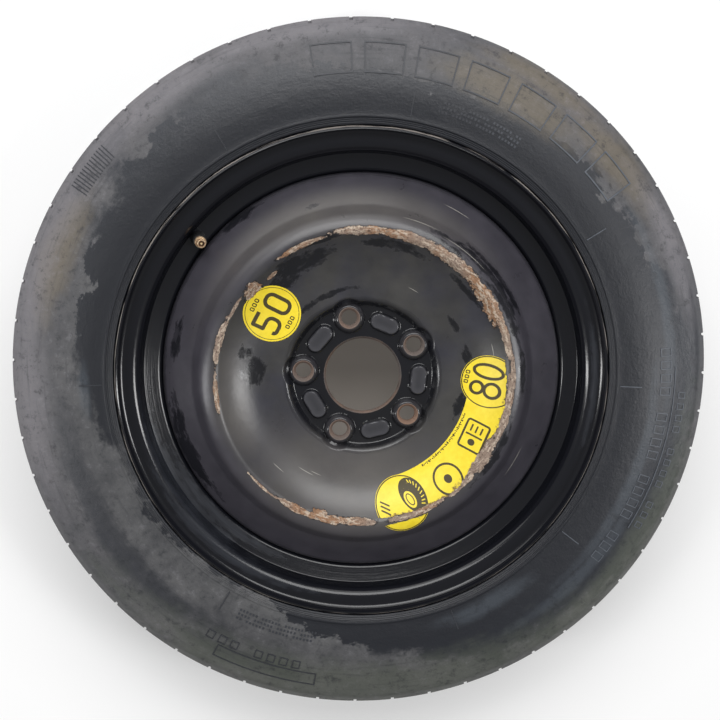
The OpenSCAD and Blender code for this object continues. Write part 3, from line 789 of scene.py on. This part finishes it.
# Darker and lighter patches of the sidewall
DARK_BAND = [(268, -146, 12, 27), (284, -113, 9, 12), (300, 8, 12, 14), (276, 118, 14, 9), (296, 136, 5, 4)]
# Bluish paler streaks: dust, and on the right of the sidewall a painted sheen
BLUE_DUST_AND_SHEEN = [(262, -22, 5, 20), (272, -42, 6, 16), (276, 12, 5, 18), (246, -178, 5, 5), (240, -62, 7, 9)]
BROWN_DUST = [(292, 42, 14, 10), (278, 62, 16, 12), (302, 58, 9, 10), (286, 158, 14, 10)]
OLIVE_DUST = [(296, -92, 26, 42), (300, -38, 14, 30)]
PALE_DUST = [(302, 162, 16, 22), (303, 128, 14, 15), (300, -176, 18, 14), (306, 100, 10, 16), (298, 22, 9, 12)]


def tyre_rubber():
    """Moulded tyre rubber. Bluish black with a soft sheen where wiped, and grey and dull under dust."""
    material, tree, shader = new_material("moulded tyre rubber, dusty")
    point, radius, polar = wheel_polar(tree)
    cloudy = add(tree, "TexNoise", {"Vector": point, "Scale": per(34), "Detail": 11.0, "Roughness": 0.66})
    brushed = add(tree, "TexNoise", {"Vector": along(tree, point, radius, 30, 10), "Scale": 1.0,
                                     "Detail": 11.0, "Roughness": 0.68})
    streaks = add(tree, "TexNoise", {"Vector": along(tree, point, radius, 50, 2.4), "Scale": 1.0,
                                     "Detail": 4.0, "Roughness": 0.55})
    mottled = add(tree, "Mix", {0: 0.45, 2: cloudy, 3: brushed}, data_type="FLOAT")

    direction = add(tree, "SeparateXYZ", polar, out=1)
    turn = add(tree, "MapRange", direction, -180.0, 180.0)
    begins = add(tree, "FloatCurve", {"Value": turn})
    curve = begins.node.mapping.curves[0]
    for k, (a, r) in enumerate(DUST_FROM):
        at = ((a + 180) / 360, (r - 220) / 100)
        if k in (0, len(DUST_FROM) - 1):
            curve.points[0 if k == 0 else -1].location = at
        else:
            curve.points.new(*at)
    begins.node.mapping.update()
    begins = add(tree, "Math", begins, 100.0, 220.0, operation="MULTIPLY_ADD")
    past = add(tree, "Math", radius, begins, operation="SUBTRACT")
    wander = add(tree, "MapRange", mottled, 0.3, 0.7, -20.0, 20.0)
    past = add(tree, "Math", past, wander, operation="ADD")
    wide = add(tree, "TexNoise", {"Vector": point, "Scale": per(90), "Detail": 3.0})
    sharp = add(tree, "MapRange", wide, 0.42, 0.56, 0.6, 0.09)
    past = add(tree, "Math", past, sharp, operation="MULTIPLY")
    dusty = add(tree, "MapRange", past, -0.5, 1.0, interpolation_type="SMOOTHSTEP")
    dark = patches(tree, polar, mottled, DARK_BAND, 0.5, 2.4)
    dark = add(tree, "Math", dark, -0.75, 1.0, operation="MULTIPLY_ADD")
    dusty = add(tree, "Math", dusty, dark, operation="MULTIPLY")

    far = add(tree, "MapRange", radius, 236.0, 312.0, interpolation_type="SMOOTHSTEP")
    clean = tint(tree, far, "1c1e24", "30333a")
    grey = tint(tree, far, "585859", "605e61")
    thick = add(tree, "MapRange", cloudy, 0.35, 0.68, 0.35, 1.0)
    dusty = add(tree, "Math", dusty, thick, operation="MULTIPLY")
    colour = tint(tree, dusty, clean, grey)
    # Among these tints the bluish streaks are partly a painted sheen on the sidewall
    for spots, shade_of, share in ((OLIVE_DUST, "565a50", 0.6), (BROWN_DUST, "6a6152", 0.65),
                                   (PALE_DUST, "7f7c80", 0.5), (BLUE_DUST_AND_SHEEN, "50575f", 0.4)):
        mask = patches(tree, polar, mottled, spots, 0.6, 2.4)
        mask = add(tree, "Math", mask, share, operation="MULTIPLY")
        colour = tint(tree, mask, colour, shade_of)
    lines = add(tree, "MapRange", streaks, 0.56, 0.72, 0.0, 0.3)
    colour = tint(tree, lines, colour, "25272c")
    grain = add(tree, "TexNoise", {"Vector": point, "Scale": per(9), "Detail": 12.0, "Roughness": 0.78})
    rubbed = add(tree, "MapRange", grain, 0.53, 0.64, 0.0, 0.6)
    powder = add(tree, "MapRange", grain, 0.46, 0.34, 0.0, 0.25)
    powder = add(tree, "Math", powder, dusty, operation="MULTIPLY")
    colour = tint(tree, rubbed, colour, "1f2126")
    colour = tint(tree, powder, colour, "96949a")
    tree.links.new(colour, shader.inputs["Base Color"])
    dull = add(tree, "MapRange", {0: dusty, 3: 0.42, 4: 0.72})
    tree.links.new(dull, shader.inputs["Roughness"])
    fine = add(tree, "TexNoise", {"Vector": point, "Scale": per(2.2), "Detail": 5.0})
    skin = add(tree, "Bump", {"Height": fine, "Strength": 0.35, "Distance": 0.0004})
    waves = add(tree, "Bump", {"Height": mottled, "Strength": 0.3, "Distance": 0.004, "Normal": skin})
    tree.links.new(waves, shader.inputs["Normal"])
    return material


# Bare steel round the crest, where the enamel has gone
RUST = [(130.4, -14, 3.2, 15), (128.0, -33, 5.2, 9), (130.2, -48, 2.4, 8), (130.0, -68, 3.0, 11),
        (129.5, -92, 3.0, 7), (130.2, -104, 3.6, 8), (131.0, -117, 2.8, 9), (132.0, -134, 1.0, 7), (127.0, -108, 2.6, 3),
        (130.5, -175, 2.0, 7), (131.0, 164, 2.8, 8), (129.2, 152, 1.2, 6), (124.5, 140.5, 5.6, 3.8),
        (121.5, 131, 1.4, 2.6), (129.4, 115.5, 2.0, 9.5), (131.0, 90, 3.4, 11), (131.0, 72, 4.0, 12),
        (130.2, 52, 4.8, 14), (129.0, 32, 5.6, 12), (130.6, 16, 3.0, 9), (132.3, 2, 2.0, 9)]
# Dark wiped and scraped places on the disc's dusty film
WIPED = [(117, 118, 8, 13), (110, 130, 6, 7), (121, 78, 4, 12), (120, 42, 2.6, 9), (97, 177, 9, 7),
         (108, 168, 6, 3), (92, -17, 5, 7), (80, 118, 2.5, 18), (94, 30, 3, 5), (95, 12, 4, 4),
         (144, 42, 3, 20), (150, 36, 2.5, 14), (174, -157, 6, 16), (171, 168, 4, 6), (158, 106, 2, 3),
         (138, 60, 2.0, 10), (139, 26, 3.0, 14), (141, 4, 3, 9), (128, 108, 2.4, 7), (179, 128, 3, 6),
         (137, -30, 3, 12)]
# Fine scratches in the film
SCRATCHES = [(101, -121, 0.35, 4), (98.5, -116, 0.3, 3), (112, -133, 0.3, 3), (143, 52, 0.3, 8),
             (146, 70, 0.3, 6), (90, 60, 0.25, 3), (118, 12, 0.3, 3), (160, -30, 0.3, 5), (170, 60, 0.3, 4)]
# Paler patches low in the dish, on its left and on the top of the crest's flank, where the enamel catches the
# light: painted highlights on the dust film
PAINTED_HIGHLIGHTS = [(100, -96, 40, 46), (118, -170, 14, 24), (152, 100, 14, 44)]


def disc_enamel():
    """Black enamel on pressed steel. A hard gloss under a thin film of dust, gone to rust round the crest."""
    material, tree, shader = new_material("black enamel on pressed steel")
    point, radius, polar = wheel_polar(tree)
    facing = add(tree, "SeparateXYZ", add(tree, "TexCoord", out="Normal"), out=2)
    behind = add(tree, "Math", facing, -0.1, operation="LESS_THAN")
    polar = add(tree, "VectorMath", behind, (1000, 0, 0), polar, operation="MULTIPLY_ADD")
    cloudy = add(tree, "TexNoise", {"Vector": point, "Scale": per(26), "Detail": 7.0, "Roughness": 0.6})
    ragged = add(tree, "TexNoise", {"Vector": point, "Scale": per(9), "Detail": 9.0, "Roughness": 0.68})
    brushed = add(tree, "TexNoise", {"Vector": along(tree, point, radius, 30, 5), "Scale": 1.0,
                                     "Detail": 6.0, "Roughness": 0.65})
    wiped = patches(tree, polar, brushed, WIPED, 0.3, 2.8)
    broken = add(tree, "MapRange", brushed, 0.6, 0.52, 0.6, 1.0)
    wiped = add(tree, "Math", wiped, broken, operation="MULTIPLY")
    film = add(tree, "MapRange", cloudy, 0.3, 0.7, 0.65, 1.0)
    out_of_hub = add(tree, "MapRange", radius, 66.0, 73.0, 0.1, 1.0)
    into_well = add(tree, "MapRange", radius, 178.0, 184.0, 1.0, 0.25)
    film = add(tree, "Math", film, out_of_hub, operation="MULTIPLY")
    film = add(tree, "Math", film, into_well, operation="MULTIPLY")
    kept = add(tree, "Math", wiped, -0.85, 1.0, operation="MULTIPLY_ADD")
    film = add(tree, "Math", film, kept, operation="MULTIPLY")
    wide = add(tree, "TexNoise", {"Vector": point, "Scale": per(70), "Detail": 5.0, "Roughness": 0.55})
    warm = add(tree, "MapRange", wide, 0.42, 0.6)
    dust = tint(tree, warm, "37373e", "434241")
    flank = add(tree, "MapRange", radius, 128.0, 140.0)
    dust = tint(tree, flank, dust, "424047")
    colour = tint(tree, film, "121317", dust)
    # Paler film where the dish and the crest's flank catch the light: painted highlights
    pale = patches(tree, polar, cloudy, PAINTED_HIGHLIGHTS, 0.7, 0.5)
    pale = add(tree, "Math", pale, film, operation="MULTIPLY")
    colour = tint(tree, pale, colour, "5b5856")
    scratched = patches(tree, polar, brushed, SCRATCHES, 0.3, 0.8)
    colour = tint(tree, scratched, colour, "8d8a84")

    height = add(tree, "SeparateXYZ", point, out=2)
    near_axis = add(tree, "Math", radius, 65.0, operation="LESS_THAN")
    pad_top = add(tree, "MapRange", height, 0.0052, 0.0076)
    not_boss = add(tree, "MapRange", height, 0.0082, 0.0079)
    pad_top = add(tree, "Math", pad_top, not_boss, operation="MULTIPLY")
    pad_top = add(tree, "Math", pad_top, near_axis, operation="MULTIPLY")
    colour = tint(tree, pad_top, colour, "414145")

    direction = add(tree, "SeparateXYZ", polar, out=1)
    off = add(tree, "Math", direction, BOLT_START, operation="SUBTRACT")
    off = add(tree, "Math", off, 180 / BOLT_COUNT, -180 / BOLT_COUNT, operation="WRAP")
    off = add(tree, "Math", off, operation="RADIANS")
    cosine = add(tree, "Math", off, operation="COSINE")
    sine = add(tree, "Math", off, operation="SINE")
    ray = add(tree, "CombineXYZ", cosine, sine, 0.0)
    ray = add(tree, "VectorMath", {0: ray, "Scale": radius}, operation="SCALE")
    from_bolt = add(tree, "VectorMath", ray, (BOLT_R, 0, 0), out="Value", operation="DISTANCE")
    seat = add(tree, "MapRange", from_bolt, SEAT_R + 0.7, SEAT_R + 0.2)
    boss = add(tree, "MapRange", from_bolt, BOSS_FOOT_R, BOSS_TOP_R)
    colour = tint(tree, boss, colour, "2d2c2f")
    bore_edge = add(tree, "MapRange", radius, BORE_R + 2.2, BORE_R + 1.4)
    rough_edge = add(tree, "Math", bore_edge, ragged, operation="MULTIPLY")
    bare = add(tree, "Math", seat, rough_edge, operation="MAXIMUM")
    bare_tone = tint(tree, warm, "6c625d", "82695a")
    colour = tint(tree, bare, colour, bare_tone)

    flaked = add(tree, "TexNoise", {"Vector": along(tree, point, radius, 17, 5), "Scale": 1.0,
                                    "Detail": 10.0, "Roughness": 0.72})
    depth = patches(tree, polar, flaked, RUST, 0.6, 2.3)
    edge = add(tree, "MapRange", depth, 0.2, 0.26)
    rust = add(tree, "MapRange", depth, 0.38, 0.44)
    speck = add(tree, "TexNoise", {"Vector": point, "Scale": per(1.7), "Detail": 7.0, "Roughness": 0.75})
    streak = add(tree, "TexNoise", {"Vector": along(tree, point, radius, 16, 2.2), "Scale": 1.0,
                                    "Detail": 7.0, "Roughness": 0.7})
    dark_spots = add(tree, "MapRange", speck, 0.49, 0.37)
    pale_streaks = add(tree, "MapRange", streak, 0.49, 0.58)
    grey_part = add(tree, "MapRange", wide, 0.44, 0.56)
    brown = tint(tree, grey_part, "8f6c51", "887669")
    scale = tint(tree, pale_streaks, brown, "b9a998")
    scale = tint(tree, dark_spots, scale, "43322a")
    colour = tint(tree, edge, colour, "1a181b")
    colour = tint(tree, rust, colour, scale)
    tree.links.new(colour, shader.inputs["Base Color"])

    gloss = add(tree, "MapRange", {0: film, 3: 0.14, 4: 0.34})
    worn = add(tree, "Math", rust, bare, operation="MAXIMUM")
    rough = add(tree, "Mix", {0: worn, 2: gloss, 3: 0.85}, data_type="FLOAT")
    tree.links.new(rough, shader.inputs["Roughness"])
    pits = add(tree, "Math", speck, 0.6, -1.0, operation="MULTIPLY_ADD")
    lost = add(tree, "Math", pits, rust, operation="MULTIPLY")
    peel = add(tree, "TexNoise", {"Vector": point, "Scale": per(6), "Detail": 2.0})
    skin = add(tree, "Bump", {"Height": peel, "Strength": 0.2, "Distance": 0.0005})
    flakes = add(tree, "Bump", {"Height": lost, "Strength": 0.5, "Distance": 0.0004, "Normal": skin})
    tree.links.new(flakes, shader.inputs["Normal"])
    return material


# Hazy dust left on the rim, paler and bluish; low on the left it also stands for the rim's reflections, as a
# painted reflection
HAZE_AND_SHEEN = [(206, -130, 5, 22), (199, -150, 5, 20), (210, -2, 3, 14), (190, -135, 4, 20)]


def rim_enamel():
    """Black enamel on the rolled rim. Wet looking gloss that draws thin bright lines on each bend."""
    material, tree, shader = new_material("black enamel on the rolled rim")
    point, radius, polar = wheel_polar(tree)
    ragged = add(tree, "TexNoise", {"Vector": along(tree, point, radius, 24, 4), "Scale": 1.0,
                                    "Detail": 7.0, "Roughness": 0.65})
    haze_and_sheen = patches(tree, polar, ragged, HAZE_AND_SHEEN, 0.5, 2.2)
    fine = add(tree, "TexNoise", {"Vector": along(tree, point, radius, 40, 1.2), "Scale": 1.0, "Detail": 4.0})
    haze_and_sheen = add(tree, "Math", haze_and_sheen, fine, operation="MULTIPLY")
    lip = add(tree, "MapRange", radius, FLANGE_TOP - 1.9, FLANGE_TOP - 1.3)
    chipped = add(tree, "MapRange", fine, 0.44, 0.54)
    chipped = add(tree, "Math", chipped, lip, operation="MULTIPLY")
    haze_and_sheen = add(tree, "Math", haze_and_sheen, 0.3, operation="MULTIPLY")
    # Paler bluish tone of the haze: dust, and on the lower left a painted reflection
    colour = tint(tree, haze_and_sheen, "14151a", "5d616a")
    colour = tint(tree, chipped, colour, "8b8580")
    tree.links.new(colour, shader.inputs["Base Color"])
    rough = add(tree, "MapRange", {0: haze_and_sheen, 3: 0.15, 4: 0.45})
    tree.links.new(rough, shader.inputs["Roughness"])
    peel = add(tree, "TexNoise", {"Vector": point, "Scale": per(9), "Detail": 2.0})
    skin = add(tree, "Bump", {"Height": peel, "Strength": 0.1, "Distance": 0.0005})
    rolled = add(tree, "TexNoise", {"Vector": along(tree, point, radius, 160, 1.3), "Scale": 1.0, "Detail": 3.0})
    marks = add(tree, "Bump", {"Height": rolled, "Strength": 0.12, "Distance": 0.0005, "Normal": skin})
    tree.links.new(marks, shader.inputs["Normal"])
    return material


def yellow_vinyl():
    """Printed vinyl film. Flat strong yellow with a little gloss, grimy and rubbed towards its outer edge."""
    material, tree, shader = new_material("yellow vinyl film")
    point, radius, polar = wheel_polar(tree)
    grime = add(tree, "TexNoise", {"Vector": point, "Scale": per(8), "Detail": 8.0, "Roughness": 0.7})
    crest = add(tree, "Math", radius, 130.5, operation="SUBTRACT")
    crest = add(tree, "Math", crest, operation="ABSOLUTE")
    edge = add(tree, "MapRange", crest, 8.0, 1.5)
    soiled = add(tree, "Math", edge, 0.24, grime, operation="MULTIPLY_ADD")
    soiled = add(tree, "MapRange", soiled, 0.64, 0.78, interpolation_type="SMOOTHSTEP")
    faded = add(tree, "MapRange", grime, 0.35, 0.65)
    colour = tint(tree, faded, "e9cf28", "f4dc3a")
    colour = tint(tree, soiled, colour, "7a6238")
    tree.links.new(colour, shader.inputs["Base Color"])
    rough = add(tree, "MapRange", {0: soiled, 3: 0.38, 4: 0.8})
    tree.links.new(rough, shader.inputs["Roughness"])
    skin = add(tree, "Bump", {"Height": grime, "Strength": 0.15, "Distance": 0.0004})
    tree.links.new(skin, shader.inputs["Normal"])
    return material


def dark_ink():
    """Screen ink on the vinyl. Olive black, dull, worn thin in specks."""
    material, tree, shader = new_material("dark ink")
    point = add(tree, "TexCoord", out="Object")
    speck = add(tree, "TexNoise", {"Vector": point, "Scale": per(3), "Detail": 6.0, "Roughness": 0.7})
    thin = add(tree, "MapRange", speck, 0.62, 0.74)
    tree.links.new(tint(tree, thin, "40371a", "9c8a24"), shader.inputs["Base Color"])
    shader.inputs["Roughness"].default_value = 0.5
    return material


def turned_brass(name, pale, dark):
    """Turned brass of the valve. Tarnished to a cream brown, with darker stains in patches."""
    material, tree, shader = new_material(name)
    point = add(tree, "TexCoord", out="Object")
    stain = add(tree, "TexNoise", {"Vector": point, "Scale": per(2.5), "Detail": 6.0})
    share = add(tree, "MapRange", stain, 0.4, 0.62)
    tree.links.new(tint(tree, share, pale, dark), shader.inputs["Base Color"])
    shader.inputs["Metallic"].default_value = 0.6
    rough = add(tree, "MapRange", {0: share, 3: 0.35, 4: 0.6})
    tree.links.new(rough, shader.inputs["Roughness"])
    return material


def bright_steel():
    """Drawn spring wire. Bright grey metal with fine streaks."""
    material, tree, shader = new_material("drawn spring steel")
    point = add(tree, "TexCoord", out="Object")
    streak = add(tree, "TexNoise", {"Vector": point, "Scale": per(1), "Detail": 3.0})
    tree.links.new(tint(tree, streak, "8d8f92", "c4c6c8"), shader.inputs["Base Color"])
    shader.inputs["Metallic"].default_value = 1.0
    shader.inputs["Roughness"].default_value = 0.32
    return material


def soft_rubber(name, dark, pale):
    """Moulded synthetic rubber of small parts. Dull, with a faint bloom of a paler tone."""
    material, tree, shader = new_material(name)
    point = add(tree, "TexCoord", out="Object")
    bloom = add(tree, "TexNoise", {"Vector": point, "Scale": per(4), "Detail": 5.0})
    tree.links.new(tint(tree, bloom, dark, pale), shader.inputs["Base Color"])
    shader.inputs["Roughness"].default_value = 0.55
    skin = add(tree, "Bump", {"Height": bloom, "Strength": 0.2, "Distance": 0.0002})
    tree.links.new(skin, shader.inputs["Normal"])
    return material


def mark_rubber():
    """Rubber of the raised marks, rubbed clean. Darker than dust, and on the right paler than the clean rubber,
    where a sheen is painted in.
    """
    material, tree, shader = new_material("rubber of the raised marks, rubbed clean")
    point = add(tree, "TexCoord", out="Object")
    bloom = add(tree, "TexNoise", {"Vector": point, "Scale": per(4), "Detail": 5.0})
    side = add(tree, "SeparateXYZ", point)
    # Paler tone towards +X, on the right side: painted sheen
    right = add(tree, "MapRange", side, 0.08, 0.2)
    dark = tint(tree, bloom, "27292e", "3a3c42")
    rubbed = tint(tree, bloom, "3a3e45", "62676f")
    tree.links.new(tint(tree, right, dark, rubbed), shader.inputs["Base Color"])
    shader.inputs["Roughness"].default_value = 0.5
    return material


def weld_steel():
    """Arc weld under black enamel. Glossy, with the ripples of the run across it."""
    material, tree, shader = new_material("enamelled weld")
    point, radius, polar = wheel_polar(tree)
    direction = add(tree, "SeparateXYZ", polar, out=1)
    ripple = add(tree, "Math", direction, 2 * TAU, operation="MULTIPLY")
    ripple = add(tree, "Math", ripple, operation="SINE")
    grit = add(tree, "TexNoise", {"Vector": point, "Scale": per(2), "Detail": 5.0})
    height = add(tree, "Math", ripple, 0.4, grit, operation="MULTIPLY_ADD")
    tree.links.new(tint(tree, grit, "131316", "2c2b2c"), shader.inputs["Base Color"])
    shader.inputs["Roughness"].default_value = 0.3
    skin = add(tree, "Bump", {"Height": height, "Strength": 0.6, "Distance": 0.0006})
    tree.links.new(skin, shader.inputs["Normal"])
    return material


# Build


rubber = tyre_rubber()
rim_paint = rim_enamel()
vinyl = yellow_vinyl()
ink = dark_ink()
brass = turned_brass("turned brass, tarnished", "dcc4a4", "9c7554")
# A darker copy of the brass for the core plug deep in the valve's bore: painted shade
shaded_bore_brass = turned_brass("turned brass in the bore, darkened as painted shade", "6d5038", "3e2c1f")
pin_brass = turned_brass("bright turned brass", "e8d3ac", "bd9a68")
black_rubber = soft_rubber("black moulded rubber", "111214", "1f2022")
red_gasket = soft_rubber("red gasket ring", "8c2a20", "a84034")
steel = bright_steel()

make_rim(rim_paint)
make_disc(disc_enamel())
make_tyre(rubber)
make_side_marks(mark_rubber())
make_round_sticker(vinyl, ink)
make_long_sticker(vinyl, ink)

for node_name, material in (("valve_rubber", black_rubber), ("valve_stem", brass), ("core_plug", shaded_bore_brass),
                            ("core_barrel", brass), ("core_gasket", red_gasket), ("core_spring", steel),
                            ("core_pin", pin_brass), ("core_cup", brass), ("cup_seal", black_rubber),
                            ("disc_welds", weld_steel())):
    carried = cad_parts[node_name]
    carried.data.materials.clear()
    carried.data.materials.append(material)


# Floor, light and camera


def make_floor():
    """Pale floor that shows white to the camera but keeps the shadow, and is painted a shaded grey under the wheel.
    """
    bm = bmesh.new()
    bmesh.ops.create_grid(bm, x_segments=1, y_segments=1, size=4)
    bmesh.ops.translate(bm, verts=bm.verts, vec=(0, 0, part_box("tyre")[0].z))
    floor = as_object("floor", bm)
    material, tree, shader = new_material("pale floor")
    point, radius, polar = wheel_polar(tree)
    # Grey inside 240 mm, in the floor's colour and in what it shows the camera: painted shade under the wheel
    out_of_painted_shade = add(tree, "MapRange", radius, 240.0, 260.0)
    colour = tint(tree, out_of_painted_shade, "ada59d", "f6f6f6")
    tree.links.new(colour, shader.inputs["Base Color"])
    shader.inputs["Roughness"].default_value = 0.9
    shown = tint(tree, out_of_painted_shade, "ada59d", "ffffff")
    glow = add(tree, "Emission", {"Color": shown, "Strength": 1.0})
    ray = add(tree, "LightPath", out="Is Camera Ray").node.outputs
    seen = add(tree, "Math", ray["Is Camera Ray"], ray["Is Glossy Ray"], operation="MAXIMUM")
    seen = add(tree, "Math", seen, ray["Is Transmission Ray"], operation="MAXIMUM")
    bright = add(tree, "MapRange", radius, 400.0, 500.0, 0.2, 0.8)
    share = add(tree, "Math", seen, bright, operation="MULTIPLY")
    both = add(tree, "MixShader", share, shader.outputs[0], glow)
    output = next(n for n in tree.nodes if n.bl_idname == "ShaderNodeOutputMaterial")
    tree.links.new(both, output.inputs[0])
    floor.data.materials.append(material)


def make_light(name, place, target, size, power):
    """A soft light at a place, turned to a target."""
    lamp = bpy.data.lights.new(name, "AREA")
    lamp.shape = "RECTANGLE"
    lamp.size, lamp.size_y = size
    lamp.energy = power
    made = linked(name, lamp)
    made.location = place
    made.rotation_euler = (Vector(target) - Vector(place)).to_track_quat("-Z", "Y").to_euler()


def make_world():
    world = bpy.data.worlds.new("studio")
    bpy.context.scene.world = world
    world.use_nodes = True
    tree = world.node_tree
    tree.nodes.clear()
    ray = add(tree, "LightPath", out="Is Camera Ray")
    strength = add(tree, "Mix", {0: ray, 2: 0.22, 3: 1.0}, data_type="FLOAT")
    back = add(tree, "Background", {"Color": (1, 1, 1, 1), "Strength": strength})
    add(tree, "OutputWorld", {"Surface": back})


def make_camera():
    lens = bpy.data.cameras.new("camera")
    lens.sensor_width = 36
    lens.lens = 46.33
    camera = linked("camera", lens)
    camera.location = (-0.03226, 0.12986, 0.83801)
    camera.rotation_euler = [math.radians(a) for a in (-7.91, -2.05, 0)]
    bpy.context.scene.camera = camera


make_floor()
make_light("top light", (0.05, 1.1, 1.45), (0, 0, 0), (1.7, 0.9), 24)
make_light("wall light", (-0.6, 1.8, 0.9), (0, 0, 0), (2.6, 1.1), 13)
make_light("right light", (1.07, -0.15, 1.16), (0, 0, 0), (0.35, 0.55), 7.5)
make_light("left light", (-1.35, -0.3, 1.0), (0, 0, 0), (0.16, 1.0), 8)
make_world()
make_camera()
bpy.context.scene.view_settings.view_transform = "Standard"
